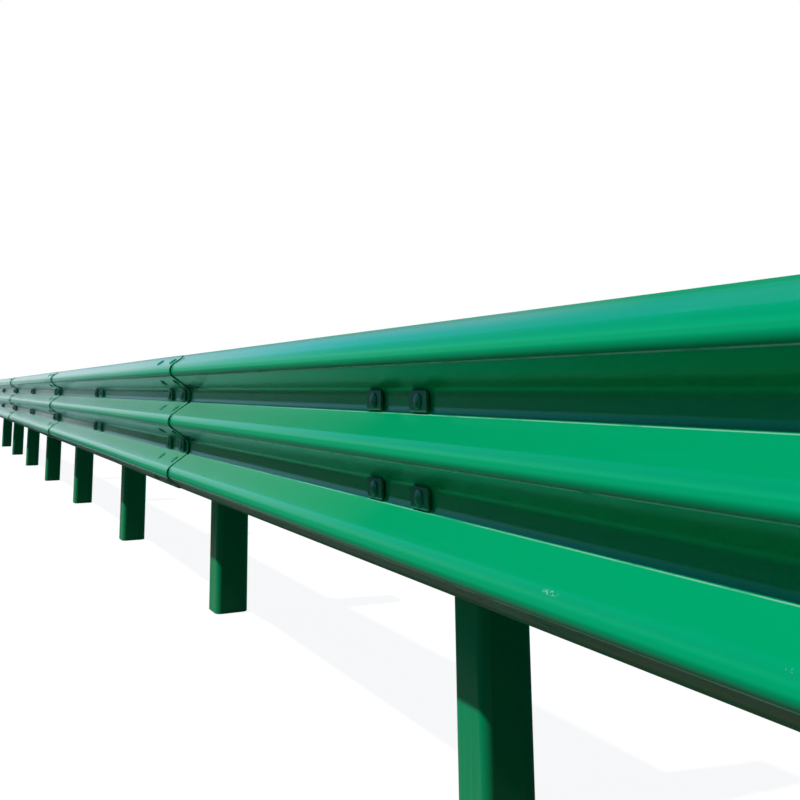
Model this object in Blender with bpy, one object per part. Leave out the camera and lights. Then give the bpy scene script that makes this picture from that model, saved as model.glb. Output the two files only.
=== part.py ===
"""Three-wave steel highway barrier: four beam panels on nine posts, 16 m between the end posts.

Frame: X along the run, +Y away from the traffic, Z up from the ground. The origin is on the
foot of the middle post, in the middle of its front wall.
"""
import math

import bmesh
import bpy

# Run
PANEL_COUNT = 4
PANEL_PITCH = 4.0         # from splice to splice
POST_PITCH = 2.0
LAP_HALF = 0.16           # a panel runs this far past the posts that carry its ends
GAP = 0.0003              # clearance between pieces that touch

# Heights above the ground
BEAM_CENTRE = 0.75
POST_TOP = 0.92

# Beam section, measured to the middle of the sheet
BEAM_SHEET = 0.004
BEAM_HEIGHT = 0.506
WAVE_PITCH = 0.194        # from crest to crest
WAVE_DEPTH = 0.081        # from crest to valley
WEB_ANGLE = math.radians(55)
WEB_BEND_RADIUS = 0.026
CREST_FLAT = 0.006
LIP_ANGLE = math.radians(10)
LIP_LENGTH = 0.0077       # from the sharp corner of its bend
LIP_BEND_RADIUS = 0.008
BEND_FACETS = 5
LIP_FACETS = 2

# A panel laps in front of the next one: the sloping webs touch first
LAP_SHIFT = (BEAM_SHEET + GAP) / math.cos(WEB_ANGLE)
RAMP_START = 2.5          # along the panel from its first post
RAMP_END = 3.7
RAMP_CUTS = 4

# Post, a square tube
POST_SIDE = 0.13
POST_WALL = 0.006
POST_CORNER_RADIUS = 0.025
POST_CORNER_FACETS = 4

# Blockout, a hat section between post and beam
BLOCK_DEPTH = 0.14
BLOCK_WIDTH = 0.30
BLOCK_HEIGHT = 0.29
BLOCK_SHEET = 0.0045
BLOCK_BEND_RADIUS = 0.007
BLOCK_BEND_FACETS = 2

# Cap over the top of each post
CAP_SHEET = 0.003
CAP_CLEARANCE = 0.001
CAP_SKIRT = 0.020
CAP_CROWN_INSET = 0.028
CAP_CROWN_RISE = 0.008
CAP_CORNER_FACETS = 3
CAP_EDGE_RADIUS = 0.004
CAP_EDGE_FACETS = 2

# Places across the barrier, front to back
POST_FRONT = -POST_WALL / 2
BLOCK_BACK = POST_FRONT - GAP
BLOCK_FRONT = BLOCK_BACK - BLOCK_DEPTH
VALLEY_Y = BLOCK_FRONT - GAP - BEAM_SHEET / 2
CREST_Y = VALLEY_Y - WAVE_DEPTH
FIRST_POST_X = -PANEL_COUNT * PANEL_PITCH / 2

COATING_GREEN = (0.0, 0.386, 0.147, 1.0)
SMOOTH_ANGLE = math.radians(35)


def powder_coated(name, roughness):
    material = bpy.data.materials.new(name)
    material.use_nodes = True
    shader = material.node_tree.nodes["Principled BSDF"]
    shader.inputs["Base Color"].default_value = COATING_GREEN
    shader.inputs["Metallic"].default_value = 0.0
    shader.inputs["Roughness"].default_value = roughness
    return material


def mesh_from(builder, name, material):
    mesh = bpy.data.meshes.new(name)
    builder.to_mesh(mesh)
    builder.free()
    mesh.materials.append(material)
    mesh.shade_smooth()
    mesh.set_sharp_from_angle(angle=SMOOTH_ANGLE)
    return mesh


def place(name, mesh, location, parent, sheet, side):
    """Put a sheet in the scene and give it thickness: side 0 is both ways, -1 inwards."""
    piece = bpy.data.objects.new(name, mesh)
    piece.location = location
    piece.parent = parent
    bpy.context.collection.objects.link(piece)
    thicken = piece.modifiers.new("thickness", "SOLIDIFY")
    thicken.thickness = sheet
    thicken.offset = side
    thicken.use_even_offset = True
    return piece


def extruded_strip(corners, run):
    """Sheet swept along run from a chain of corners. Returns it with the edges of its bends."""
    builder = bmesh.new()
    verts = [builder.verts.new(corner) for corner in corners]
    chain = [builder.edges.new(pair) for pair in zip(verts, verts[1:])]
    swept = bmesh.ops.extrude_edge_only(builder, edges=chain)["geom"]
    moved = [item for item in swept if isinstance(item, bmesh.types.BMVert)]
    bmesh.ops.translate(builder, vec=run, verts=moved)
    bends = [edge for edge in builder.edges if len(edge.link_faces) == 2]
    return builder, bends


def round_edges(builder, edges, angle, radius, facets):
    """Turn sharp bends of one angle into arcs of the given radius."""
    bmesh.ops.bevel(builder, geom=edges, offset=radius * math.tan(angle / 2),
                    offset_type="OFFSET", segments=facets, profile=0.5, affect="EDGES",
                    clamp_overlap=False)


def beam_corners(x):
    """Sharp corners of the three waves, from the bottom edge to the top edge."""
    tangent = WEB_BEND_RADIUS * math.tan(WEB_ANGLE / 2)
    crest = CREST_FLAT / 2 + tangent
    valley = WAVE_PITCH / 2 - crest - WAVE_DEPTH / math.tan(WEB_ANGLE)
    lip_end = BEAM_HEIGHT / 2 - BEAM_SHEET / 2 * math.sin(LIP_ANGLE)
    lip_corner = lip_end - LIP_LENGTH * math.cos(LIP_ANGLE)
    edge_depth = (lip_corner - WAVE_PITCH - crest) * math.tan(WEB_ANGLE)
    upper = [
        (x, 0.0, crest),
        (x, WAVE_DEPTH, WAVE_PITCH / 2 - valley),
        (x, WAVE_DEPTH, WAVE_PITCH / 2 + valley),
        (x, 0.0, WAVE_PITCH - crest),
        (x, 0.0, WAVE_PITCH + crest),
        (x, edge_depth, lip_corner),
        (x, edge_depth + LIP_LENGTH * math.sin(LIP_ANGLE), lip_end),
    ]
    lower = [(x, y, -z) for x, y, z in reversed(upper)]
    return lower + upper


def lap_ramp(x):
    """How far a panel has come forward at x along it, to lap over the next one."""
    t = min(max((x - RAMP_START) / (RAMP_END - RAMP_START), 0.0), 1.0)
    return LAP_SHIFT * t * t * (3 - 2 * t)


def beam_mesh(name, laps_over_next, material):
    length = PANEL_PITCH + 2 * LAP_HALF
    builder, bends = extruded_strip(beam_corners(-LAP_HALF), (length, 0.0, 0.0))
    outer_crest = WAVE_PITCH + CREST_FLAT + WEB_BEND_RADIUS
    lips = [edge for edge in bends if abs(edge.verts[0].co.z) > outer_crest]
    webs = [edge for edge in bends if edge not in lips]
    round_edges(builder, webs, WEB_ANGLE, WEB_BEND_RADIUS, BEND_FACETS)
    lips = [edge for edge in lips if edge.is_valid]
    round_edges(builder, lips, WEB_ANGLE - LIP_ANGLE, LIP_BEND_RADIUS, LIP_FACETS)
    if laps_over_next:
        for i in range(RAMP_CUTS + 1):
            x = RAMP_START + (RAMP_END - RAMP_START) * i / RAMP_CUTS
            everything = builder.verts[:] + builder.edges[:] + builder.faces[:]
            bmesh.ops.bisect_plane(builder, geom=everything, dist=1e-6,
                                   plane_co=(x, 0.0, 0.0), plane_no=(1.0, 0.0, 0.0))
        for vert in builder.verts:
            vert.co.y -= lap_ramp(vert.co.x)
    return mesh_from(builder, name, material)


def round_box(side, bottom, top, corner_radius, corner_facets):
    """Square box centred on the Z axis, with round upright edges."""
    builder = bmesh.new()
    bmesh.ops.create_cube(builder, size=1.0)
    bmesh.ops.scale(builder, vec=(side, side, top - bottom), verts=builder.verts)
    bmesh.ops.translate(builder, vec=(0.0, 0.0, (top + bottom) / 2), verts=builder.verts)
    uprights = [edge for edge in builder.edges
                if abs(edge.verts[0].co.z - edge.verts[1].co.z) > (top - bottom) / 2]
    round_edges(builder, uprights, math.radians(90), corner_radius, corner_facets)
    return builder


def facing(builder, direction):
    """Faces of the mesh whose normal points along direction, +1 for up and -1 for down."""
    return [face for face in builder.faces if face.normal.z * direction > 0.9]


def post_mesh(material):
    builder = round_box(POST_SIDE, 0.0, POST_TOP, POST_CORNER_RADIUS, POST_CORNER_FACETS)
    ends = facing(builder, 1) + facing(builder, -1)
    bmesh.ops.delete(builder, geom=ends, context="FACES")
    return mesh_from(builder, "post", material)


def cap_mesh(material):
    skirt_bottom = POST_TOP - CAP_SKIRT
    lid = POST_TOP + GAP + CAP_SHEET
    side = POST_SIDE + 2 * (CAP_CLEARANCE + CAP_SHEET)
    builder = round_box(side, skirt_bottom, lid, POST_CORNER_RADIUS, CAP_CORNER_FACETS)
    bmesh.ops.delete(builder, geom=facing(builder, -1), context="FACES")
    rim = facing(builder, 1)[0].edges[:]
    round_edges(builder, rim, math.radians(90), CAP_EDGE_RADIUS, CAP_EDGE_FACETS)
    lid_face = max(facing(builder, 1), key=lambda face: face.calc_area())
    bmesh.ops.inset_individual(builder, faces=[lid_face], thickness=CAP_CROWN_INSET)
    bmesh.ops.translate(builder, vec=(0.0, 0.0, CAP_CROWN_RISE), verts=lid_face.verts)
    return mesh_from(builder, "post_cap", material)


def blockout_mesh(material):
    """Hat section: its web stands on the post and its two flanges carry the beam."""
    half = BLOCK_SHEET / 2
    wall = POST_SIDE / 2 - half
    front = BLOCK_FRONT + half
    back = BLOCK_BACK - half
    bottom = BEAM_CENTRE - BLOCK_HEIGHT / 2
    right = [(wall, back, bottom), (wall, front, bottom), (BLOCK_WIDTH / 2, front, bottom)]
    left = [(-x, y, z) for x, y, z in reversed(right)]
    builder, bends = extruded_strip(left + right, (0.0, 0.0, BLOCK_HEIGHT))
    round_edges(builder, bends, math.radians(90), BLOCK_BEND_RADIUS, BLOCK_BEND_FACETS)
    return mesh_from(builder, "blockout", material)


def build_barrier():
    for old in list(bpy.data.objects):
        bpy.data.objects.remove(old, do_unlink=True)

    beam_coat = powder_coated("beam_coating", 0.25)
    post_coat = powder_coated("post_coating", 0.35)
    run = bpy.data.objects.new("barrier_run", None)
    bpy.context.collection.objects.link(run)

    lapped = beam_mesh("beam_panel_lapped", True, beam_coat)
    plain = beam_mesh("beam_panel_plain", False, beam_coat)
    for i in range(PANEL_COUNT):
        mesh = plain if i == PANEL_COUNT - 1 else lapped
        place_at = (FIRST_POST_X + i * PANEL_PITCH, CREST_Y, BEAM_CENTRE)
        place(f"beam_panel_{i + 1}", mesh, place_at, run, BEAM_SHEET, 0.0)

    post = post_mesh(post_coat)
    cap = cap_mesh(post_coat)
    blockout = blockout_mesh(post_coat)
    post_middle = POST_FRONT + POST_SIDE / 2
    post_count = round(PANEL_COUNT * PANEL_PITCH / POST_PITCH) + 1
    for i in range(post_count):
        x = FIRST_POST_X + i * POST_PITCH
        place(f"post_{i + 1}", post, (x, post_middle, 0.0), run, POST_WALL, -1.0)
        place(f"post_cap_{i + 1}", cap, (x, post_middle, 0.0), run, CAP_SHEET, -1.0)
        place(f"blockout_{i + 1}", blockout, (x, 0.0, 0.0), run, BLOCK_SHEET, 0.0)


build_barrier()
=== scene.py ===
import math

import bmesh
import bpy
from mathutils import Matrix, Vector


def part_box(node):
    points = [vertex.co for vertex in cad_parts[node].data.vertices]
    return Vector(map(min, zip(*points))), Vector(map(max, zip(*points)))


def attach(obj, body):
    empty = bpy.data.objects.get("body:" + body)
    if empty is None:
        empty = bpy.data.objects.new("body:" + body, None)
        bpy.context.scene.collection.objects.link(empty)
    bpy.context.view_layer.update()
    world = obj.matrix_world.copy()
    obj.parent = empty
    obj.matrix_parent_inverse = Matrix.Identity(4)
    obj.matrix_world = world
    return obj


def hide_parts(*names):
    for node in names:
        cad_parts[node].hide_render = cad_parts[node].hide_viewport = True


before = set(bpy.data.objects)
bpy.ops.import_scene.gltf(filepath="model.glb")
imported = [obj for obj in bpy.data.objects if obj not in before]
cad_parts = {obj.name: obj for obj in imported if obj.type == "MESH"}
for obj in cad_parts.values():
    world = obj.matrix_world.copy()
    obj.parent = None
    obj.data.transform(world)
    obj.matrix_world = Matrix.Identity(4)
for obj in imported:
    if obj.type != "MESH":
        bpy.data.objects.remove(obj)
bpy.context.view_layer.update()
print("frame loaded:", len(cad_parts), "nodes")


def hexColour(code):
    # sRGB hex to the linear values that the shaders work in
    parts = [int(code[i:i + 2], 16) / 255 for i in (1, 3, 5)]
    linear = [p / 12.92 if p <= 0.04045 else ((p + 0.055) / 1.055) ** 2.4 for p in parts]
    return (*linear, 1.0)


def socketOf(sockets, key):
    return next(s for s in sockets if s.enabled and key in (s.identifier, s.name))


def addNode(tree, kind, settings=None, links=None):
    node = tree.nodes.new(kind)
    for key, value in (settings or {}).items():
        if hasattr(node, key):
            setattr(node, key, value)
        else:
            socketOf(node.inputs, key).default_value = value
    for key, source in (links or {}).items():
        tree.links.new(source, socketOf(node.inputs, key))
    return node


def centreX(node):
    low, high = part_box(node)
    return (low.x + high.x) / 2


def nodesNamed(start):
    found = [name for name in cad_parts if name.startswith(start)]
    return sorted(found, key=centreX)


def newPiece(name, builder, materials):
    mesh = bpy.data.meshes.new(name)
    builder.to_mesh(mesh)
    builder.free()
    for material in materials:
        mesh.materials.append(material)
    piece = bpy.data.objects.new(name, mesh)
    bpy.context.scene.collection.objects.link(piece)
    return piece


def settle(piece):
    # turn what the modifiers make into the piece's own mesh
    graph = bpy.context.evaluated_depsgraph_get()
    done = bpy.data.meshes.new_from_object(piece.evaluated_get(graph))
    piece.modifiers.clear()
    piece.data = done


smooth = {
    "sheetAngle": 50,            # degrees past which an edge stays sharp
    "boltAngle": 40,
    "cutAngle": 55,              # past which an edge of a sheet counts as cut
    "cutSegments": 2,
}


def smoothPiece(piece, angle):
    piece.data.shade_smooth()
    piece.data.set_sharp_from_angle(angle=math.radians(angle))
    weighted = piece.modifiers.new("evenShading", "WEIGHTED_NORMAL")
    weighted.keep_sharp = True
    settle(piece)


def sheetPiece(name, builder, materials, thickness, side):
    # a bent sheet gets its thickness, to the side that its faces point to when side is 1
    piece = newPiece(name, builder, materials)
    thicken = piece.modifiers.new("thickness", "SOLIDIFY")
    thicken.thickness = thickness
    thicken.offset = side
    thicken.use_even_offset = True
    settle(piece)
    return piece


def roundCutEdges(piece, width):
    bevel = piece.modifiers.new("cutEdges", "BEVEL")
    bevel.width = width
    bevel.segments = smooth["cutSegments"]
    bevel.limit_method = "ANGLE"
    bevel.angle_limit = math.radians(smooth["cutAngle"])
    bevel.material = 1
    bevel.use_clamp_overlap = True
    settle(piece)
    smoothPiece(piece, smooth["sheetAngle"])


def roundBends(builder, edges, offset, segments):
    bmesh.ops.bevel(builder, geom=edges, offset=offset, offset_type="OFFSET",
                    segments=segments, profile=0.5, affect="EDGES", material=-1,
                    clamp_overlap=False)


def sweptSheet(corners, run):
    # a chain of corners pulled along run; the bends are the edges between two faces
    builder = bmesh.new()
    verts = [builder.verts.new(corner) for corner in corners]
    chain = [builder.edges.new(pair) for pair in zip(verts, verts[1:])]
    pulled = bmesh.ops.extrude_edge_only(builder, edges=chain)["geom"]
    moved = [item for item in pulled if isinstance(item, bmesh.types.BMVert)]
    bmesh.ops.translate(builder, vec=run, verts=moved)
    return builder, [edge for edge in builder.edges if len(edge.link_faces) == 2]


def turned(builder, profile, steps):
    # a profile of (radius, height) turned once round Z
    verts = [builder.verts.new((radius, 0.0, height)) for radius, height in profile]
    edges = [builder.edges.new(pair) for pair in zip(verts, verts[1:])]
    bmesh.ops.spin(builder, geom=verts + edges, cent=(0, 0, 0), axis=(0, 0, 1),
                   angle=2 * math.pi, steps=steps, use_merge=True)
    bmesh.ops.remove_doubles(builder, verts=builder.verts, dist=1e-6)
    bmesh.ops.recalc_face_normals(builder, faces=builder.faces)


def addCopy(target, shape, matrix):
    # a finished small shape, set down in a larger builder
    copy = shape.copy()
    copy.transform(matrix)
    mesh = bpy.data.meshes.new("copy")
    copy.to_mesh(mesh)
    copy.free()
    target.from_mesh(mesh)
    bpy.data.meshes.remove(mesh)


def facingMatrix(place, normal, along):
    # local Z goes to normal, local X as near along as it can
    z = Vector(normal).normalized()
    x = (Vector(along) - z * z.dot(Vector(along))).normalized()
    y = z.cross(x)
    turn = Matrix((x, y, z)).transposed().to_4x4()
    return Matrix.Translation(place) @ turn


coat = {
    "green": "#00AB6D",
    "deepGreen": "#00A367",
    "crestHighlightGreen": "#00C480",   # painted highlight: a brighter green on the crests' faces turned to the road, for the light that falls there
    # dust, and the colour of the painted highlight along the beam's top edge
    "dust": "#A2B2BC",
    "soil": "#A8996E",
    "zinc": "#A9B8B6",
    # pale scuffs, and the painted highlight where each valley bends out
    "paleMark": "#B4E2CC",
    "film": "#A4DCF4",
    # painted reflection: the pale that stands in for the sky mirrored at a flat angle towards the
    # far end
    "paintedShine": "#C8DEDA",
    # painted shade beside the ends of the laps
    "lapShade": "#063526",
    "glossTint": "#70E8C0",    # the coat's own green shows in what it mirrors, except edge on
    "cloudSize": 0.9,          # patches where the coat lies thicker
    "cloudFrom": 0.35,
    "cloudTo": 0.65,
    "streakSize": 0.012,       # wipe marks and run lines along the rolled sheet
    "streakFrom": 0.52,
    "streakTo": 0.75,
    "speckSize": 0.006,        # clumps of dust
    "speckFrom": 0.3,
    "speckTo": 0.7,
    "dustBand": 0.11,          # how soon the dust starts as a face turns up
    "soilFrom": 0.3,
    "soilTo": 0.6,
    "dirtDull": 0.5,           # what dust and soil add to the roughness
    "chipSize": 1 / 90,        # where the coat has chipped off a cut edge
    "chipBand": 0.08,          # how sharply chips and scratches end
    "chipAmount": 0.85,
    "scuffFrom": 0.54,
    "lapShadeFrom": 0.3,
    "spotCore": 0.4,           # the part of a mark at full strength
    "peelSize": 0.0035,        # orange peel, drawn a little coarse so that it shows
    "peelDepth": 0.00003,
    "waveSize": 0.45,          # the sheet isn't quite flat after rolling
    "waveDepth": 0.0012,
}


def layOver(material, code, factor):
    # the material's colour so far goes under a plain one, as far as the factor says
    tree = material.node_tree
    socket = tree.nodes["Principled BSDF"].inputs["Base Color"]
    mix = addNode(tree, "ShaderNodeMix", {"data_type": "RGBA", "B": hexColour(code)},
                  {"Factor": factor, "A": socket.links[0].from_socket})
    tree.links.new(socketOf(mix.outputs, "Result"), socket)


def powderCoat(name, look):
    # polyester powder coat on galvanised steel, sprayed and baked: a glossy skin with a slight
    # haze, a little wavy, with thin dust on what faces up and soil near the ground
    material = bpy.data.materials.new(name)
    material.use_nodes = True
    tree = material.node_tree
    shader = tree.nodes["Principled BSDF"]
    place = addNode(tree, "ShaderNodeTexCoord").outputs["Object"]
    normal = addNode(tree, "ShaderNodeNewGeometry").outputs["Normal"]
    split = addNode(tree, "ShaderNodeSeparateXYZ", links={"Vector": place})
    facing = addNode(tree, "ShaderNodeSeparateXYZ", links={"Vector": normal})

    drawn = addNode(tree, "ShaderNodeMapping", {"Scale": look["stretch"]}, {"Vector": place})
    cloud = addNode(tree, "ShaderNodeTexNoise",
                    {"Scale": 1 / coat["cloudSize"], "Detail": 3.0},
                    {"Vector": drawn.outputs[0]})
    streak = addNode(tree, "ShaderNodeTexNoise",
                     {"Scale": 1 / coat["streakSize"], "Detail": 4.0, "Roughness": 0.6},
                     {"Vector": drawn.outputs[0]})
    speck = addNode(tree, "ShaderNodeTexNoise",
                    {"Scale": 1 / coat["speckSize"], "Detail": 5.0, "Roughness": 0.65},
                    {"Vector": place})

    # thin and thick coat
    thick = addNode(tree, "ShaderNodeMapRange",
                    {"From Min": coat["cloudFrom"], "From Max": coat["cloudTo"],
                     "interpolation_type": "SMOOTHSTEP"}, {"Value": cloud.outputs[0]})
    colour = addNode(tree, "ShaderNodeMix",
                     {"data_type": "RGBA", "A": hexColour(look["green"]),
                      "B": hexColour(look["deepGreen"])},
                     {"Factor": thick.outputs[0]})
    tree.links.new(socketOf(colour.outputs, "Result"), shader.inputs["Base Color"])
    # faint lines along the sheet
    line = addNode(tree, "ShaderNodeMapRange",
                   {"From Min": coat["streakFrom"], "From Max": coat["streakTo"],
                    "To Max": look["streakAmount"]}, {"Value": streak.outputs[0]})
    layOver(material, look["streakColour"], line.outputs[0])
    # dust lies on what faces the sky
    skyward = addNode(tree, "ShaderNodeMapRange",
                      {"From Min": look["dustFrom"],
                       "From Max": look["dustFrom"] + coat["dustBand"],
                       "To Max": look["dustAndShineAmount"]}, {"Value": facing.outputs["Z"]})
    dusty = addNode(tree, "ShaderNodeMapRange",
                    {"From Min": coat["speckFrom"], "From Max": coat["speckTo"]},
                    {"Value": speck.outputs[0]})
    dust = addNode(tree, "ShaderNodeMath", {"operation": "MULTIPLY"},
                   {"Value": skyward.outputs[0], "Value_001": dusty.outputs[0]})
    layOver(material, coat["dust"], dust.outputs[0])
    # soil thrown up from the ground, fading upwards; on the beam's bottom lip it is also a painted
    # reflection of the brown ground
    splash = addNode(tree, "ShaderNodeMapRange",
                     {"From Min": look["soilTop"], "From Max": look["soilFoot"],
                      "To Max": look["soilAmount"], "interpolation_type": "SMOOTHSTEP"},
                     {"Value": split.outputs["Z"]})
    spotted = addNode(tree, "ShaderNodeMapRange",
                      {"From Min": coat["soilFrom"], "From Max": coat["soilTo"]},
                      {"Value": streak.outputs[0]})
    soil = addNode(tree, "ShaderNodeMath", {"operation": "MULTIPLY"},
                   {"Value": splash.outputs[0], "Value_001": spotted.outputs[0]})
    layOver(material, coat["soil"], soil.outputs[0])

    # gloss: duller where dust, soil and wipe marks are
    dirt = addNode(tree, "ShaderNodeMath", {"operation": "ADD"},
                   {"Value": dust.outputs[0], "Value_001": soil.outputs[0]})
    dull = addNode(tree, "ShaderNodeMath",
                   {"operation": "MULTIPLY_ADD", "Value_001": coat["dirtDull"],
                    "Value_002": look["roughness"]}, {"Value": dirt.outputs[0]})
    rough = addNode(tree, "ShaderNodeMath",
                    {"operation": "MULTIPLY_ADD", "Value_001": look["streakDull"]},
                    {"Value": line.outputs[0], "Value_002": dull.outputs[0]})
    tree.links.new(rough.outputs[0], shader.inputs["Roughness"])
    shader.inputs["IOR"].default_value = 1.5
    # a film of road dust, which only shows at a flat angle
    shader.inputs["Sheen Weight"].default_value = look["film"]
    shader.inputs["Sheen Roughness"].default_value = 0.2
    shader.inputs["Sheen Tint"].default_value = hexColour(coat["film"])
    shader.inputs["Specular Tint"].default_value = hexColour(coat["glossTint"])

    # relief: rolled sheet's waviness, then orange peel
    waves = addNode(tree, "ShaderNodeTexNoise",
                    {"Scale": 1 / coat["waveSize"], "Detail": 1.0}, {"Vector": place})
    peel = addNode(tree, "ShaderNodeTexNoise",
                   {"Scale": 1 / coat["peelSize"], "Detail": 2.0}, {"Vector": place})
    waveBump = addNode(tree, "ShaderNodeBump", {"Distance": coat["waveDepth"]},
                       {"Height": waves.outputs[0]})
    peelBump = addNode(tree, "ShaderNodeBump", {"Distance": coat["peelDepth"]},
                       {"Height": peel.outputs[0], "Normal": waveBump.outputs[0]})
    tree.links.new(peelBump.outputs[0], shader.inputs["Normal"])
    return material


beamLook = {
    "green": coat["green"], "deepGreen": coat["deepGreen"], "streakColour": "#00B579",
    "stretch": (0.12, 1.0, 1.0), "streakAmount": 0.10, "streakDull": 0.6,
    # on the beam the soil band lies on the bottom lip and also stands in for a painted reflection
    # of the brown ground
    "dustFrom": 0.86, "dustAndShineAmount": 0.75, "soilTop": 0.545, "soilFoot": 0.515, "soilAmount": 0.8,
    "roughness": 0.18, "film": 0.3,
}
postLook = {
    "green": "#019E66", "deepGreen": "#008F58", "streakColour": "#48A880",
    "stretch": (1.0, 1.0, 0.03), "streakAmount": 0.20, "streakDull": 0.4,
    "dustFrom": 0.8, "dustAndShineAmount": 0.4, "soilTop": 0.30, "soilFoot": 0.0, "soilAmount": 0.05,
    "roughness": 0.2, "film": 0.1,
}
hatLook = dict(postLook, stretch=(1.0, 1.0, 1.0), streakAmount=0.15, soilAmount=0.0)
boltLook = dict(beamLook, stretch=(1.0, 1.0, 1.0), soilAmount=0.0, dustAndShineAmount=0.05,
                roughness=0.35, green="#258B68", deepGreen="#1A7B5A")


def paintedBendHighlights(material, beamLines):
    # painted highlights: thin pale broken lines along the rolled bends that run with the beam,
    # standing in for glints at the edge of the sun's light, and a painted highlight along the top
    # edge
    tree = material.node_tree
    place = addNode(tree, "ShaderNodeTexCoord").outputs["Object"]
    split = addNode(tree, "ShaderNodeSeparateXYZ", links={"Vector": place})
    middle, pitch = beamLines["middle"], beamLines["pitch"]
    wave = addNode(tree, "ShaderNodeMath",
                   {"operation": "WRAP", "Value_001": middle + pitch / 2,
                    "Value_002": middle - pitch / 2}, {"Value": split.outputs["Z"]})
    long = addNode(tree, "ShaderNodeMapping", {"Scale": beamLines["stretch"]},
                   {"Vector": place})
    breaks = addNode(tree, "ShaderNodeTexNoise",
                     {"Scale": 1 / beamLines["breakSize"], "Detail": 3.0},
                     {"Vector": long.outputs[0]})
    lineBreaks = addNode(tree, "ShaderNodeMapRange",
                   {"From Min": beamLines["breakFrom"], "From Max": beamLines["breakTo"]},
                   {"Value": breaks.outputs[0]})
    nearShare = addNode(tree, "ShaderNodeMapRange",
                    {"From Min": beamLines["fadeEnd"], "From Max": beamLines["fadeStart"]},
                    {"Value": split.outputs["X"]})
    shown = addNode(tree, "ShaderNodeMath", {"operation": "MULTIPLY"},
                    {"Value": lineBreaks.outputs[0], "Value_001": nearShare.outputs[0]})
    for height, halfWidth, amount, code in beamLines["lines"]:
        off = addNode(tree, "ShaderNodeMath",
                      {"operation": "SUBTRACT", "Value_001": middle + height},
                      {"Value": wave.outputs[0]})
        away = addNode(tree, "ShaderNodeMath", {"operation": "ABSOLUTE"},
                       {"Value": off.outputs[0]})
        thin = addNode(tree, "ShaderNodeMapRange",
                       {"From Min": halfWidth, "From Max": 0.0, "To Max": amount},
                       {"Value": away.outputs[0]})
        paleMark = addNode(tree, "ShaderNodeMath", {"operation": "MULTIPLY"},
                      {"Value": thin.outputs[0], "Value_001": shown.outputs[0]})
        layOver(material, code, paleMark.outputs[0])
    # painted highlight along the top edge, in the dust colour, standing in for the sky mirrored
    # there
    edge = addNode(tree, "ShaderNodeMapRange",
                   {"From Min": beamLines["top"] - beamLines["edgeShineReach"],
                    "From Max": beamLines["top"], "To Max": beamLines["dustAndShineAmount"],
                    "interpolation_type": "SMOOTHSTEP"}, {"Value": split.outputs["Z"]})
    distant = addNode(tree, "ShaderNodeMapRange",
                      {"From Min": beamLines["edgeShineEnd"], "From Max": beamLines["edgeShineFull"],
                       "To Min": beamLines["edgeShineRest"]}, {"Value": split.outputs["X"]})
    rim = addNode(tree, "ShaderNodeMath", {"operation": "MULTIPLY"},
                  {"Value": edge.outputs[0], "Value_001": distant.outputs[0]})
    layOver(material, coat["dust"], rim.outputs[0])


paintedLight = {
    "crestTop": 0.5,             # how far a face may turn up or down and still be a crest's
    "crestTopFull": 0.0,
    "crestFoot": -0.78,
    "crestFootFull": -0.55,
    "depthBand": 0.01,
    "shadeShare": 0.35,          # on faces that don't turn up to the sun
    "sunFull": 0.7,
    "runStart": 1.8,             # from the nearest whole splice
    "runEnd": -3.2,
    "runAmount": 0.62,
}


def paintedCrestLight(material, depth):
    # painted highlight: a brighter green painted on the crests' faces turned to the road, as far
    # back as the given depth, standing in for the light that falls there
    tree = material.node_tree
    place = addNode(tree, "ShaderNodeTexCoord").outputs["Object"]
    normal = addNode(tree, "ShaderNodeNewGeometry").outputs["Normal"]
    split = addNode(tree, "ShaderNodeSeparateXYZ", links={"Vector": place})
    facing = addNode(tree, "ShaderNodeSeparateXYZ", links={"Vector": normal})
    upper = addNode(tree, "ShaderNodeMapRange",
                    {"From Min": paintedLight["crestTop"], "From Max": paintedLight["crestTopFull"],
                     "interpolation_type": "SMOOTHSTEP"}, {"Value": facing.outputs["Z"]})
    lower = addNode(tree, "ShaderNodeMapRange",
                    {"From Min": paintedLight["crestFoot"], "From Max": paintedLight["crestFootFull"]},
                    {"Value": facing.outputs["Z"]})
    outward = addNode(tree, "ShaderNodeMath", {"operation": "MULTIPLY"},
                      {"Value": upper.outputs[0], "Value_001": lower.outputs[0]})
    near = addNode(tree, "ShaderNodeMapRange",
                   {"From Min": depth + paintedLight["depthBand"],
                    "From Max": depth - paintedLight["depthBand"]}, {"Value": split.outputs["Y"]})
    paintedShine = addNode(tree, "ShaderNodeMath", {"operation": "MULTIPLY"},
                    {"Value": outward.outputs[0], "Value_001": near.outputs[0]})
    layOver(material, coat["crestHighlightGreen"], paintedShine.outputs[0])


def paintedFarSheen(material, splice):
    # painted reflection: the coat is painted paler towards the far end of the run, most on faces
    # turned up to the sun, standing in for the pale sky mirrored at a flat angle
    tree = material.node_tree
    place = addNode(tree, "ShaderNodeTexCoord").outputs["Object"]
    split = addNode(tree, "ShaderNodeSeparateXYZ", links={"Vector": place})
    along = addNode(tree, "ShaderNodeMapRange",
                    {"From Min": splice + paintedLight["runStart"],
                     "From Max": splice + paintedLight["runEnd"], "To Max": paintedLight["runAmount"]},
                    {"Value": split.outputs["X"]})
    normal = addNode(tree, "ShaderNodeNewGeometry").outputs["Normal"]
    facing = addNode(tree, "ShaderNodeSeparateXYZ", links={"Vector": normal})
    sunward = addNode(tree, "ShaderNodeMapRange",
                      {"From Min": 0.0, "From Max": paintedLight["sunFull"],
                       "To Min": paintedLight["shadeShare"]}, {"Value": facing.outputs["Z"]})
    paintedShine = addNode(tree, "ShaderNodeMath", {"operation": "MULTIPLY"},
                    {"Value": along.outputs[0], "Value_001": sunward.outputs[0]})
    layOver(material, coat["paintedShine"], paintedShine.outputs[0])


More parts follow.
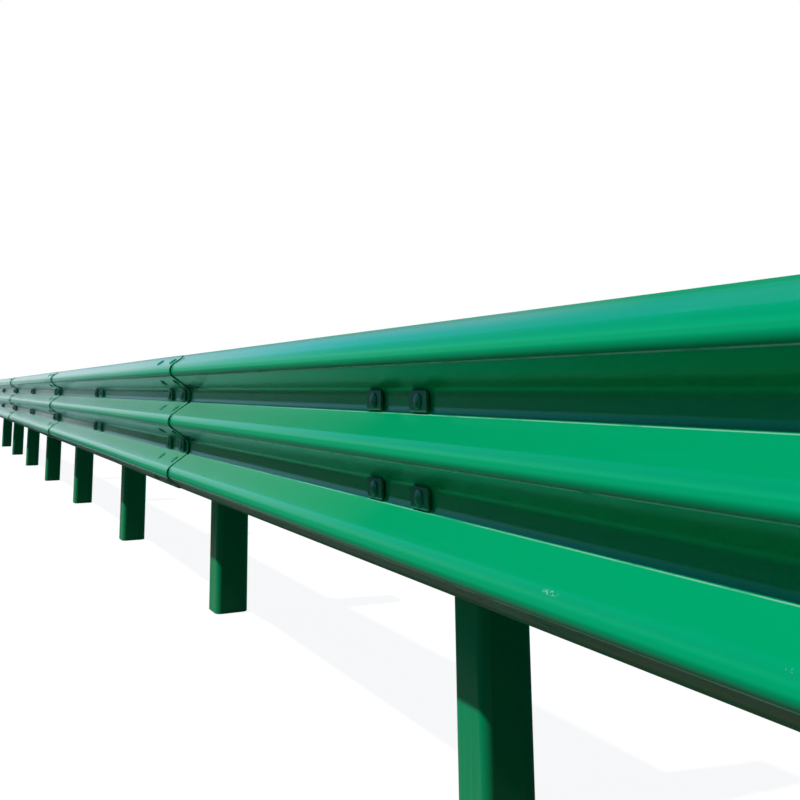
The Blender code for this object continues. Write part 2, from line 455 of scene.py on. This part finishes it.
def spotMarks(material, marks, code, start):
    # marks round a point: short scratches with a high start, a soft patch with a low one, which is
    # used for painted shade
    tree = material.node_tree
    place = addNode(tree, "ShaderNodeTexCoord").outputs["Object"]
    for spot, grain, reach in marks:
        near = addNode(tree, "ShaderNodeVectorMath",
                       {"operation": "SUBTRACT", "Vector_001": spot}, {"Vector": place})
        scaled = addNode(tree, "ShaderNodeVectorMath",
                         {"operation": "DIVIDE", "Vector_001": reach},
                         {"Vector": near.outputs[0]})
        away = addNode(tree, "ShaderNodeVectorMath", {"operation": "LENGTH"},
                       {"Vector": scaled.outputs[0]})
        inside = addNode(tree, "ShaderNodeMapRange",
                         {"From Min": 1.0, "From Max": coat["spotCore"]},
                         {"Value": away.outputs["Value"]})
        scratch = addNode(tree, "ShaderNodeTexNoise",
                          {"Scale": 1 / grain, "Detail": 4.0, "Distortion": 1.5},
                          {"Vector": near.outputs[0]})
        cut = addNode(tree, "ShaderNodeMapRange",
                      {"From Min": start, "From Max": start + coat["chipBand"]},
                      {"Value": scratch.outputs[0]})
        shown = addNode(tree, "ShaderNodeMath", {"operation": "MULTIPLY"},
                        {"Value": inside.outputs[0], "Value_001": cut.outputs[0]})
        layOver(material, code, shown.outputs[0])


def cutEdgeCoat(name, look):
    # the coat thins out on a cut edge, where grey zinc shows through in chips
    material = powderCoat(name, look)
    tree = material.node_tree
    place = addNode(tree, "ShaderNodeTexCoord").outputs["Object"]
    chips = addNode(tree, "ShaderNodeTexNoise",
                    {"Scale": 1 / coat["chipSize"], "Detail": 6.0, "Roughness": 0.7},
                    {"Vector": place})
    bare = addNode(tree, "ShaderNodeMapRange",
                   {"From Min": look["chipFrom"],
                    "From Max": look["chipFrom"] + coat["chipBand"],
                    "To Max": coat["chipAmount"]}, {"Value": chips.outputs[0]})
    layOver(material, coat["zinc"], bare.outputs[0])
    return material


beamCoat = powderCoat("glossyPowderCoatBeam", beamLook)
postCoat = powderCoat("glossyPowderCoatPost", postLook)
hatCoat = powderCoat("glossyPowderCoatBlockout", hatLook)
boltCoat = powderCoat("paintedZincFasteners", boltLook)
beamEdge = cutEdgeCoat("thinCoatOnCutEdgeBeam",
                       dict(beamLook, roughness=0.3, chipFrom=0.6, film=0.1))
postEdge = cutEdgeCoat("thinCoatOnCutEdgePost", dict(postLook, roughness=0.35, chipFrom=0.5))
print("finishes made")


beam = {
    "sheet": 0.004,
    "wavePitch": 0.194,
    "waveDepth": 0.081,
    "webAngle": math.radians(55),     # of the sloping webs, from upright
    "bendRadius": 0.026,              # in the middle of the sheet
    "bendSegments": 12,
    "crestFlat": 0.006,
    "lipAngle": math.radians(10),
    "lipLength": 0.0077,
    "lipRadius": 0.008,
    "lipSegments": 5,
    "gap": 0.0003,
    "rampStart": 2.66,                # from the panel's first end
    "rampEnd": 3.86,
    "rampCuts": 24,
    "edgeRound": 0.0006,
    "slotLength": 0.030,
    "slotWidth": 0.024,
    "slotSteps": 32,
    "cutterDepth": 0.03,
    "columnOffset": 0.110,            # splice bolts' columns, from the splice's middle
    "endToPost": 0.16,
}
beamNames = nodesNamed("beam_panel_")
firstLow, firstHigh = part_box(beamNames[0])
beamMiddle = (firstLow.z + firstHigh.z) / 2
beamHalf = (firstHigh.z - firstLow.z) / 2
valleyY = firstHigh.y - beam["sheet"] / 2
crestY = valleyY - beam["waveDepth"]
lapShift = (beam["sheet"] + beam["gap"]) / math.cos(beam["webAngle"])

# half the flat and bend of a crest, up to the sharp corner where the web would start
crestHalf = beam["crestFlat"] / 2 + beam["bendRadius"] * math.tan(beam["webAngle"] / 2)
webHeight = beam["waveDepth"] / math.tan(beam["webAngle"])
lipEnd = beamHalf - beam["sheet"] / 2 * math.sin(beam["lipAngle"])
lipCorner = lipEnd - beam["lipLength"] * math.cos(beam["lipAngle"])
outerHeight = lipCorner - beam["wavePitch"] - crestHalf
outerDepth = outerHeight * math.tan(beam["webAngle"])

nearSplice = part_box(beamNames[-2])[1].x
for finish in (beamCoat, beamEdge):
    paintedFarSheen(finish, nearSplice)
paintedCrestLight(beamCoat, crestY + beam["waveDepth"] / 2)
paintedBendHighlights(beamCoat, {
    "middle": beamMiddle,
    "top": beamMiddle + beamHalf,
    "pitch": beam["wavePitch"],
    "breakSize": 0.02,                # where the line is broken
    "breakFrom": 0.30,
    "breakTo": 0.5,
    "stretch": (0.2, 1.0, 1.0),
    "fadeStart": nearSplice + 1.2,    # the lines fade towards the far end
    "fadeEnd": nearSplice + 0.2,
    "edgeShineFull": nearSplice + 2.3,     # the painted highlight on the top edge thins towards the near end
    "edgeShineEnd": nearSplice + 2.7,
    "edgeShineRest": 0.12,
    "edgeShineReach": 0.030,
    "dustAndShineAmount": 0.38,
    "lines": [                        # height, half width, amount, colour
        (-0.0224, 0.0019, 1.0, "#E0FFF4"),   # painted highlight under each crest
        (0.0700, 0.0011, 0.6, coat["paleMark"]),  # painted highlight where each valley bends out into the sunlit web
    ],
})

scuffs = [
    # past the splice, behind the crest, below the beam's middle, grain, reach
    (2.468, 0.0, 0.1750, 0.006, (0.024, 0.03, 0.0040)),
    (0.582, 0.018, 0.1618, 0.008, (0.012, 0.02, 0.0035)),
    (2.905, 0.0, 0.1735, 0.006, (0.008, 0.02, 0.0025)),
]
spotMarks(beamCoat, [
    (Vector((nearSplice + past, crestY + behind, beamMiddle - below)), grain, reach)
    for past, behind, below, grain, reach in scuffs
], coat["paleMark"], coat["scuffFrom"])

lapShade = {
    "past": 0.06,                     # from the end of each lap
    "inFront": 0.025,                 # of the valley
    "underCrest": 0.066,
    "grain": 0.05,
    "reach": (0.13, 0.03, 0.02),
}
# painted shade beside the end of each lap, under the crests, standing in for the shadow of the
# lapped sheet's edge and bolts
spotMarks(beamCoat, [
    (Vector((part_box(name)[1].x + lapShade["past"], valleyY - lapShade["inFront"],
             beamMiddle + crest - lapShade["underCrest"])), lapShade["grain"], lapShade["reach"])
    for name in beamNames[:-1]
    for crest in (beam["wavePitch"], 0.0)
], coat["lapShade"], coat["lapShadeFrom"])


def sectionCorners(x):
    # the three waves' sharp corners, from the bottom lip to the top lip
    pitch = beam["wavePitch"]
    deep = beam["waveDepth"]
    lipDepth = outerDepth + beam["lipLength"] * math.sin(beam["lipAngle"])
    upper = [
        (0.0, crestHalf),
        (deep, crestHalf + webHeight),
        (deep, pitch - crestHalf - webHeight),
        (0.0, pitch - crestHalf),
        (0.0, pitch + crestHalf),
        (outerDepth, lipCorner),
        (lipDepth, lipEnd),
    ]
    lower = [(y, -z) for y, z in reversed(upper)]
    return [(x, crestY + y, beamMiddle + z) for y, z in lower + upper]


def lapRamp(distance):
    t = (distance - beam["rampStart"]) / (beam["rampEnd"] - beam["rampStart"])
    t = min(max(t, 0.0), 1.0)
    return lapShift * t * t * (3 - 2 * t)


def spliceSpots():
    # the middles of the six webs: depth behind the crests, height, and up or down
    spots = []
    for wave in (-1, 0, 1):
        for side in (-1, 1):
            outer = wave == side
            height = outerHeight if outer else webHeight
            depth = outerDepth if outer else beam["waveDepth"]
            z = wave * beam["wavePitch"] + side * (crestHalf + height / 2)
            spots.append((depth / 2, z, side))
    return spots


def webNormal(side):
    return Vector((0.0, -math.cos(beam["webAngle"]), side * math.sin(beam["webAngle"])))


def slotCutter(spliceX):
    # one long-hole cutter for each open splice slot
    cutter = bmesh.new()
    shape = bmesh.new()
    bmesh.ops.create_cone(shape, cap_ends=True, segments=beam["slotSteps"],
                          radius1=beam["slotWidth"] / 2, radius2=beam["slotWidth"] / 2,
                          depth=beam["cutterDepth"])
    stretch = (beam["slotLength"] - beam["slotWidth"]) / 2
    for side in (-1, 1):
        half = [v for v in shape.verts if v.co.x * side > 1e-6]
        bmesh.ops.translate(shape, vec=(side * stretch, 0, 0), verts=half)
    for depth, z, side in spliceSpots():
        for column in (-1, 1):
            place = Vector((spliceX + column * beam["columnOffset"], crestY + depth,
                            beamMiddle + z))
            addCopy(cutter, shape, facingMatrix(place, webNormal(side), (1, 0, 0)))
    shape.free()
    return newPiece("slotCutter", cutter, [])


def makeBeam(node, lapsOver, openEnd):
    low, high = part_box(node)
    builder, bends = sweptSheet(sectionCorners(low.x), (high.x - low.x, 0, 0))
    lipStart = beam["wavePitch"] + crestHalf + outerHeight / 2
    lips = [e for e in bends if abs(e.verts[0].co.z - beamMiddle) > lipStart]
    webs = [e for e in bends if e not in lips]
    roundBends(builder, webs, beam["bendRadius"] * math.tan(beam["webAngle"] / 2),
               beam["bendSegments"])
    lips = [e for e in lips if e.is_valid]
    lipTurn = beam["webAngle"] - beam["lipAngle"]
    roundBends(builder, lips, beam["lipRadius"] * math.tan(lipTurn / 2), beam["lipSegments"])
    if lapsOver:
        for i in range(beam["rampCuts"] + 1):
            share = i / beam["rampCuts"]
            x = low.x + beam["rampStart"] + (beam["rampEnd"] - beam["rampStart"]) * share
            everything = builder.verts[:] + builder.edges[:] + builder.faces[:]
            bmesh.ops.bisect_plane(builder, geom=everything, dist=1e-6,
                                   plane_co=(x, 0, 0), plane_no=(1, 0, 0))
        for vert in builder.verts:
            vert.co.y -= lapRamp(vert.co.x - low.x)
    name = node.replace("panel", "coated_panel")
    piece = sheetPiece(name, builder, [beamCoat, beamEdge], beam["sheet"], 0.0)
    if openEnd:
        cutter = slotCutter(openEnd)
        cut = piece.modifiers.new("slots", "BOOLEAN")
        cut.operation = "DIFFERENCE"
        cut.object = cutter
        settle(piece)
        bpy.data.objects.remove(cutter)
    roundCutEdges(piece, beam["edgeRound"])
    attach(piece, "root")
    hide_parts(node)


for number, node in enumerate(beamNames):
    low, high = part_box(node)
    openEnd = None
    if number == 0:
        openEnd = low.x + beam["endToPost"]
    if number == len(beamNames) - 1:
        openEnd = high.x - beam["endToPost"]
    makeBeam(node, number < len(beamNames) - 1, openEnd)
print("beam panels made")


post = {
    "wall": 0.006,
    "cornerRadius": 0.025,
    "cornerSegments": 12,
    "edgeRound": 0.0008,
}


def roundBox(low, high, cornerRadius, segments):
    builder = bmesh.new()
    bmesh.ops.create_cube(builder, size=1.0)
    bmesh.ops.scale(builder, vec=high - low, verts=builder.verts)
    bmesh.ops.translate(builder, vec=(low + high) / 2, verts=builder.verts)
    uprights = [e for e in builder.edges
                if abs(e.verts[0].co.z - e.verts[1].co.z) > (high.z - low.z) / 2]
    roundBends(builder, uprights, cornerRadius, segments)
    return builder


def flatEnds(builder, direction):
    builder.normal_update()
    return [face for face in builder.faces if face.normal.z * direction > 0.9]


def makePost(node):
    low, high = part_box(node)
    builder = roundBox(low, high, post["cornerRadius"], post["cornerSegments"])
    bmesh.ops.delete(builder, geom=flatEnds(builder, 1) + flatEnds(builder, -1),
                     context="FACES")
    piece = sheetPiece(node + "_tube", builder, [postCoat, postEdge], post["wall"], -1.0)
    roundCutEdges(piece, post["edgeRound"])
    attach(piece, "root")
    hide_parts(node)


cap = {
    "sheet": 0.003,
    "edgeRadius": 0.004,
    "edgeSegments": 4,
    "crownInset": 0.028,
    "crownRise": 0.008,
    "rimRound": 0.0006,
}


def makeCap(node):
    low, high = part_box(node)
    lid = Vector((high.x, high.y, high.z - cap["crownRise"]))
    builder = roundBox(low, lid, post["cornerRadius"], post["cornerSegments"])
    bmesh.ops.delete(builder, geom=flatEnds(builder, -1), context="FACES")
    rim = flatEnds(builder, 1)[0].edges[:]
    roundBends(builder, rim, cap["edgeRadius"], cap["edgeSegments"])
    lidFace = max(flatEnds(builder, 1), key=lambda face: face.calc_area())
    bmesh.ops.inset_individual(builder, faces=[lidFace], thickness=cap["crownInset"])
    bmesh.ops.translate(builder, vec=(0, 0, cap["crownRise"]), verts=lidFace.verts)
    builder.normal_update()
    piece = sheetPiece(node + "_pressed", builder, [postCoat, postEdge], cap["sheet"], -1.0)
    roundCutEdges(piece, cap["rimRound"])
    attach(piece, "root")
    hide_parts(node)


for node in nodesNamed("post_cap_"):
    makeCap(node)
postNames = [name for name in nodesNamed("post_") if "cap" not in name]
for node in postNames:
    makePost(node)
print("posts and caps made")


hat = {
    "sheet": 0.0045,
    "bendRadius": 0.007,
    "bendSegments": 6,
    "edgeRound": 0.0007,
}


def makeBlockout(node):
    low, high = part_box(node)
    half = hat["sheet"] / 2
    middle = (low.x + high.x) / 2
    postLow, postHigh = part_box(node.replace("blockout", "post"))
    wall = (postHigh.x - postLow.x) / 2 - half
    right = [(wall, high.y - half), (wall, low.y + half), ((high.x - low.x) / 2, low.y + half)]
    left = [(-x, y) for x, y in reversed(right)]
    corners = [(middle + x, y, low.z) for x, y in left + right]
    builder, bends = sweptSheet(corners, (0, 0, high.z - low.z))
    roundBends(builder, bends, hat["bendRadius"], hat["bendSegments"])
    piece = sheetPiece(node + "_hat", builder, [hatCoat, postEdge], hat["sheet"], 0.0)
    roundCutEdges(piece, hat["edgeRound"])
    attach(piece, "root")
    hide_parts(node)


for node in nodesNamed("blockout_"):
    makeBlockout(node)
print("blockouts made")


bolt = {
    "headRadius": 0.017,         # M16 round head, 34 mm across
    "headEdge": 0.002,
    "headDome": 0.0035,
    "headSoft": 0.0006,
    "domeSteps": 7,
    "shankRadius": 0.008,
    "washerRadius": 0.017,
    "washerHole": 0.0085,
    "washerSheet": 0.003,
    "washerSoft": 0.0005,
    "nutAcross": 0.024,          # across the flats
    "nutHeight": 0.013,
    "nutRound": 0.0009,
    "hexHeadHeight": 0.010,
    "tail": 0.006,               # thread showing past the nut
    "threadPitch": 0.002,
    "threadRoot": 0.86,          # of the shank's radius
    "threadEnd": 0.8,
    "threadTip": 0.0012,
    "threadSteps": 20,
    "steps": 28,
    "plate": (0.076, 0.044, 0.006),
    "plateCorner": 0.005,
    "plateCornerSegments": 4,
    "plateRound": 0.0009,
    "plateLift": 0.0040,         # the plate bridges the valley's bends
    "valleyOffset": 0.108,       # either side of the post's middle
    "valleyDrift": -0.020,       # the bolts sit towards one end of their slots
    "throughOffset": 0.075,      # above and below the beam's middle
}


def roundHead():
    # a low dome over a short straight rim
    shape = bmesh.new()
    rim = bolt["headRadius"]
    dome = bolt["headDome"]
    ball = (rim * rim + dome * dome) / (2 * dome)
    sweep = math.asin(rim / ball)
    soft, steps = bolt["headSoft"], bolt["domeSteps"]
    profile = [(0.0, 0.0), (rim - soft, 0.0), (rim, soft), (rim, bolt["headEdge"])]
    for i in range(1, steps + 1):
        angle = sweep * (1 - i / steps)
        height = bolt["headEdge"] + dome - ball * (1 - math.cos(angle))
        profile.append((ball * math.sin(angle), height))
    turned(shape, profile, bolt["steps"])
    return shape


def flatWasher():
    shape = bmesh.new()
    outer, hole, sheet = bolt["washerRadius"], bolt["washerHole"], bolt["washerSheet"]
    soft = bolt["washerSoft"]
    profile = [(hole, 0.0), (outer - soft, 0.0), (outer, soft), (outer, sheet - soft),
               (outer - soft, sheet), (hole, sheet), (hole, 0.0)]
    turned(shape, profile, bolt["steps"])
    return shape


def hexBlock(height, base):
    # a six-sided block whose top corners are turned off
    shape = bmesh.new()
    radius = bolt["nutAcross"] / 2 / math.cos(math.radians(30))
    bmesh.ops.create_cone(shape, cap_ends=True, segments=6, radius1=radius, radius2=radius,
                          depth=height)
    bmesh.ops.translate(shape, vec=(0, 0, base + height / 2), verts=shape.verts)
    roundBends(shape, shape.edges[:], bolt["nutRound"], 2)
    return shape


def threadEnd(base):
    # the end of the bolt with its thread, as rings
    shape = bmesh.new()
    radius, pitch = bolt["shankRadius"], bolt["threadPitch"]
    profile = [(0.0, base)]
    rings = int(bolt["tail"] / pitch)
    for i in range(rings):
        profile.append((radius, base + i * pitch))
        profile.append((radius * bolt["threadRoot"], base + (i + 0.5) * pitch))
    top = base + rings * pitch
    tip = top + bolt["threadTip"]
    profile += [(radius, top), (radius * bolt["threadEnd"], tip), (0.0, tip)]
    turned(shape, profile, bolt["threadSteps"])
    return shape


def coverPlate():
    # the rectangular washer over the slot in the valley
    shape = bmesh.new()
    bmesh.ops.create_cube(shape, size=1.0)
    bmesh.ops.scale(shape, vec=bolt["plate"], verts=shape.verts)
    bmesh.ops.translate(shape, vec=(0, 0, bolt["plate"][2] / 2), verts=shape.verts)
    corners = [e for e in shape.edges if abs(e.verts[0].co.z - e.verts[1].co.z) > 0.001]
    roundBends(shape, corners, bolt["plateCorner"], bolt["plateCornerSegments"])
    shape.normal_update()
    rims = [e for e in shape.edges if e.calc_face_angle(0.0) > math.radians(60)]
    roundBends(shape, rims, bolt["plateRound"], 2)
    return shape


head = roundHead()
washer = flatWasher()
plate = coverPlate()
nut = hexBlock(bolt["nutHeight"], bolt["washerSheet"])
hexHead = hexBlock(bolt["hexHeadHeight"], bolt["washerSheet"])
thread = threadEnd(bolt["washerSheet"] + bolt["nutHeight"])


def nutSide(builder, place, normal, turn):
    # each nut stops at its own turn
    matrix = facingMatrix(place, normal, (math.cos(turn), 0, math.sin(turn)))
    for shape in (washer, nut, thread):
        addCopy(builder, shape, matrix)


def boltPiece(name, builder):
    piece = newPiece(name, builder, [boltCoat])
    smoothPiece(piece, smooth["boltAngle"])
    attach(piece, "root")


spliceCentres = [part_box(name)[1].x - beam["endToPost"] for name in beamNames[:-1]]
front = Vector((0, -1, 0))
back = Vector((0, 1, 0))

for number, node in enumerate(postNames, 1):
    postLow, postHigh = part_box(node)
    hatLow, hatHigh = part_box(node.replace("post", "blockout"))
    x = (postLow.x + postHigh.x) / 2
    onSplice = any(abs(x - centre) < 0.01 for centre in spliceCentres)
    valleyFace = valleyY - beam["sheet"] / 2 - (lapShift if onSplice else 0.0)
    builder = bmesh.new()
    for side in (-1, 1):
        for wave in (-1, 1):
            place = Vector((x + side * bolt["valleyOffset"] + bolt["valleyDrift"],
                            valleyFace - bolt["plateLift"],
                            beamMiddle + wave * beam["wavePitch"] / 2))
            addCopy(builder, plate, facingMatrix(place, front, (1, 0, 0)))
            place.y -= bolt["plate"][2]
            addCopy(builder, head, facingMatrix(place, front, (1, 0, 0)))
            place.y = hatLow.y + hat["sheet"]
            nutSide(builder, place, back, 0.4 * side + 0.9 * wave + number)
    boltPiece(f"valley_bolts_{number}", builder)

    builder = bmesh.new()
    for wave in (-1, 1):
        place = Vector((x, postHigh.y, beamMiddle + wave * bolt["throughOffset"]))
        matrix = facingMatrix(place, back, (1, 0, 0.3 * number))
        addCopy(builder, washer, matrix)
        addCopy(builder, hexHead, matrix)
        place.y = hatHigh.y - hat["sheet"]
        nutSide(builder, place, front, 0.7 * number + wave)
    boltPiece(f"through_bolts_{number}", builder)

for number, centre in enumerate(spliceCentres, 1):
    builder = bmesh.new()
    for depth, z, side in spliceSpots():
        normal = webNormal(side)
        for column in (-1, 1):
            middle = Vector((centre + column * beam["columnOffset"], crestY + depth,
                             beamMiddle + z))
            place = middle + normal * beam["sheet"] / 2 - Vector((0, lapShift, 0))
            addCopy(builder, head, facingMatrix(place, normal, (1, 0, 0)))
            place = middle - normal * beam["sheet"] / 2
            nutSide(builder, place, -normal, depth * 40 + z * 9 + column)
    boltPiece(f"splice_bolts_{number}", builder)
print("bolts made")


camera = {
    "pastSplice": 3.6825,        # along the run from the last splice's visible edge
    "fromCrest": 0.8467,         # out from the crests
    "overMiddle": 0.1324,        # above the beam's middle
    "heading": 64.30,            # degrees from facing straight at the barrier
    "tilt": 99.46,
    "roll": -0.56,
    "lens": 42.24,
    "shiftX": 0.0188,
    "shiftY": -0.215,
}


def makeCamera():
    data = bpy.data.cameras.new("roadside")
    data.lens = camera["lens"]
    data.sensor_width = 36
    data.shift_x = camera["shiftX"]
    data.shift_y = camera["shiftY"]
    data.clip_start = 0.05
    data.clip_end = 500
    viewer = bpy.data.objects.new("roadside", data)
    bpy.context.scene.collection.objects.link(viewer)
    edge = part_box(beamNames[-2])[1].x
    place = Matrix.Translation((edge + camera["pastSplice"], crestY - camera["fromCrest"],
                                beamMiddle + camera["overMiddle"]))
    turn = Matrix.Rotation(math.radians(camera["heading"]), 4, "Z")
    tilt = Matrix.Rotation(math.radians(camera["tilt"]), 4, "X")
    roll = Matrix.Rotation(math.radians(camera["roll"]), 4, "Z")
    viewer.matrix_world = place @ turn @ tilt @ roll
    bpy.context.scene.camera = viewer


makeCamera()


light = {
    "sunStrength": 3.12,
    "sunAngle": 1.2,
    "sunHeight": 55.3,
    "sunTurn": 12,               # degrees towards the far end
    "fillStrength": 0.9,
    "sky": [                     # by the sine of the height above the horizon
        (0.00, "#62989E"),
        (0.17, "#9AC8DE"),
        (0.31, "#5CC6F4"),
        (0.48, "#5AA4E7"),
        (0.64, "#2F7AD7"),
        (1.00, "#2C6482"),
    ],
    "skyAhead": 1.0,             # past the far end
    "skyBehind": 0.08,
    "skyTurn": (0.35, -0.85),    # by the sine of the angle along the run
    "endTurn": (-0.74, -0.98),   # the white band past the far end
    "bandHeight": (0.35, 0.02),
    "bandAmount": 0.9,
    "bandSide": (-0.16, -0.04),
    "bandRest": 0.05,
    "ground": "#1E2E25",
    "soil": "#6A6856",
    "soilHalfWidth": 0.55,
    "soilBlur": 0.1,
    "floorHalf": 120,
    "floorGlow": 0.915,
    "floorTone": 0.10,
    "floorFade": (12.0, 30.0),   # where the floor turns plain white
    "roadShine": 0.05,           # how much of the pale floor the coat mirrors, in front
    "roadEdge": (-0.7, -1.3),
    "farShine": 0.8,             # and past the far end
    "farReach": (-10.0, -22.0),
    "farSide": (-5.0, -2.5),
    "fillAngle": 60,
    "fillFrom": (-0.5, 0.8, 0.3),
}


def makeSun(name, strength, angle, direction):
    data = bpy.data.lights.new(name, "SUN")
    data.energy = strength
    data.angle = math.radians(angle)
    lamp = bpy.data.objects.new(name, data)
    lamp.rotation_euler = Vector(direction).to_track_quat("Z", "Y").to_euler()
    bpy.context.scene.collection.objects.link(lamp)


height = math.radians(light["sunHeight"])
turn = math.radians(light["sunTurn"])
makeSun("sun", light["sunStrength"], light["sunAngle"],
        (-math.cos(height) * math.sin(turn), -math.cos(height) * math.cos(turn), math.sin(height)))
makeSun("backFill", light["fillStrength"], light["fillAngle"], light["fillFrom"])


def shownTo(tree, glossShare):
    # 1 for what the camera sees, also through glass, and a share of it for what gloss mirrors
    rays = addNode(tree, "ShaderNodeLightPath")
    direct = addNode(tree, "ShaderNodeMath", {"operation": "MAXIMUM"},
                     {"Value": rays.outputs["Is Camera Ray"],
                      "Value_001": rays.outputs["Is Transmission Ray"]})
    mirrored = addNode(tree, "ShaderNodeMath", {"operation": "MULTIPLY"},
                       {"Value": rays.outputs["Is Glossy Ray"], "Value_001": glossShare})
    seen = addNode(tree, "ShaderNodeMath", {"operation": "MAXIMUM"},
                   {"Value": direct.outputs[0], "Value_001": mirrored.outputs[0]})
    return seen.outputs[0]


def makeWorld():
    # a clear sky, brightest past the far end of the run, with the white backdrop low down there
    world = bpy.data.worlds.new("clearSky")
    world.use_nodes = True
    bpy.context.scene.world = world
    tree = world.node_tree
    direction = addNode(tree, "ShaderNodeTexCoord").outputs["Generated"]
    split = addNode(tree, "ShaderNodeSeparateXYZ", links={"Vector": direction})
    colour = addNode(tree, "ShaderNodeValToRGB", links={"Fac": split.outputs["Z"]})
    stops = colour.color_ramp.elements
    while len(stops) < len(light["sky"]):
        stops.new(1.0)
    for stop, (height, code) in zip(stops, light["sky"]):
        stop.position = height
        stop.color = hexColour(code)
    ahead = addNode(tree, "ShaderNodeMapRange",
                    {"From Min": light["skyTurn"][0], "From Max": light["skyTurn"][1],
                     "To Min": light["skyBehind"], "To Max": light["skyAhead"],
                     "interpolation_type": "SMOOTHSTEP"}, {"Value": split.outputs["X"]})
    sky = tree.nodes["Background"]
    tree.links.new(colour.outputs["Color"], sky.inputs["Color"])
    tree.links.new(ahead.outputs[0], sky.inputs["Strength"])
    farEnd = addNode(tree, "ShaderNodeMapRange",
                     {"From Min": light["endTurn"][0], "From Max": light["endTurn"][1],
                      "interpolation_type": "SMOOTHSTEP"}, {"Value": split.outputs["X"]})
    low = addNode(tree, "ShaderNodeMapRange",
                  {"From Min": light["bandHeight"][0], "From Max": light["bandHeight"][1],
                   "To Max": light["bandAmount"],
                   "interpolation_type": "SMOOTHSTEP"}, {"Value": split.outputs["Z"]})
    straight = addNode(tree, "ShaderNodeMapRange",
                       {"From Min": light["bandSide"][0], "From Max": light["bandSide"][1],
                        "To Min": light["bandRest"],
                        "interpolation_type": "SMOOTHSTEP"}, {"Value": split.outputs["Y"]})
    band = addNode(tree, "ShaderNodeMath", {"operation": "MULTIPLY"},
                   {"Value": farEnd.outputs[0], "Value_001": low.outputs[0]})
    glow = addNode(tree, "ShaderNodeMath", {"operation": "MULTIPLY"},
                   {"Value": band.outputs[0], "Value_001": straight.outputs[0]})
    white = addNode(tree, "ShaderNodeBackground", {"Color": (1, 1, 1, 1), "Strength": 1.0})
    mix = addNode(tree, "ShaderNodeMixShader",
                  links={"Fac": shownTo(tree, glow.outputs[0]), "Shader": sky.outputs[0],
                         "Shader_001": white.outputs[0]})
    tree.links.new(mix.outputs[0], tree.nodes["World Output"].inputs["Surface"])


makeWorld()


def makeFloor():
    builder = bmesh.new()
    bmesh.ops.create_grid(builder, x_segments=1, y_segments=1, size=light["floorHalf"])
    material = bpy.data.materials.new("paleFloor")
    material.use_nodes = True
    tree = material.node_tree
    tree.nodes.remove(tree.nodes["Principled BSDF"])
    place = addNode(tree, "ShaderNodeTexCoord").outputs["Object"]
    split = addNode(tree, "ShaderNodeSeparateXYZ", links={"Vector": place})
    distance = addNode(tree, "ShaderNodeVectorMath", {"operation": "LENGTH"}, {"Vector": place})
    far = addNode(tree, "ShaderNodeMapRange",
                  {"From Min": light["floorFade"][0], "From Max": light["floorFade"][1],
                   "interpolation_type": "SMOOTHSTEP"}, {"Value": distance.outputs["Value"]})
    # what the camera sees: white with a soft shadow, plain white further off
    tone = light["floorTone"]
    glowing = addNode(tree, "ShaderNodeEmission", {"Strength": light["floorGlow"]})
    shaded = addNode(tree, "ShaderNodeBsdfDiffuse", {"Color": (tone, tone, tone, 1)})
    near = addNode(tree, "ShaderNodeAddShader",
                   links={"Shader": glowing.outputs[0], "Shader_001": shaded.outputs[0]})
    plain = addNode(tree, "ShaderNodeEmission", {"Strength": 1.0})
    shown = addNode(tree, "ShaderNodeMixShader",
                    links={"Fac": far.outputs[0], "Shader": near.outputs[0],
                           "Shader_001": plain.outputs[0]})
    # what lights the object: dark ground with a strip of soil along the posts
    across = addNode(tree, "ShaderNodeMath", {"operation": "ABSOLUTE"},
                     {"Value": split.outputs["Y"]})
    strip = addNode(tree, "ShaderNodeMapRange",
                    {"From Min": light["soilHalfWidth"] + light["soilBlur"],
                     "From Max": light["soilHalfWidth"] - light["soilBlur"],
                     "interpolation_type": "SMOOTHSTEP"}, {"Value": across.outputs[0]})
    tones = addNode(tree, "ShaderNodeMix",
                    {"data_type": "RGBA", "A": hexColour(light["ground"]),
                     "B": hexColour(light["soil"])}, {"Factor": strip.outputs[0]})
    ground = addNode(tree, "ShaderNodeBsdfDiffuse",
                     links={"Color": socketOf(tones.outputs, "Result")})
    # the coat mirrors some of the pale floor
    road = addNode(tree, "ShaderNodeMapRange",
                   {"From Min": light["roadEdge"][0], "From Max": light["roadEdge"][1],
                    "To Max": light["roadShine"], "interpolation_type": "SMOOTHSTEP"},
                   {"Value": split.outputs["Y"]})
    beyond = addNode(tree, "ShaderNodeMapRange",
                     {"From Min": light["farReach"][0], "From Max": light["farReach"][1],
                      "To Max": light["farShine"], "interpolation_type": "SMOOTHSTEP"},
                     {"Value": split.outputs["X"]})
    straight = addNode(tree, "ShaderNodeMapRange",
                       {"From Min": light["farSide"][0], "From Max": light["farSide"][1],
                        "interpolation_type": "SMOOTHSTEP"}, {"Value": split.outputs["Y"]})
    ahead = addNode(tree, "ShaderNodeMath", {"operation": "MULTIPLY"},
                    {"Value": beyond.outputs[0], "Value_001": straight.outputs[0]})
    mirrored = addNode(tree, "ShaderNodeMath", {"operation": "MAXIMUM"},
                       {"Value": road.outputs[0], "Value_001": ahead.outputs[0]})
    surface = addNode(tree, "ShaderNodeMixShader",
                      links={"Fac": shownTo(tree, mirrored.outputs[0]),
                             "Shader": ground.outputs[0], "Shader_001": shown.outputs[0]})
    tree.links.new(surface.outputs[0], tree.nodes["Material Output"].inputs["Surface"])
    floor = newPiece("floor", builder, [material])


makeFloor()
bpy.context.scene.view_settings.view_transform = "Standard"
print("camera, light and floor made")
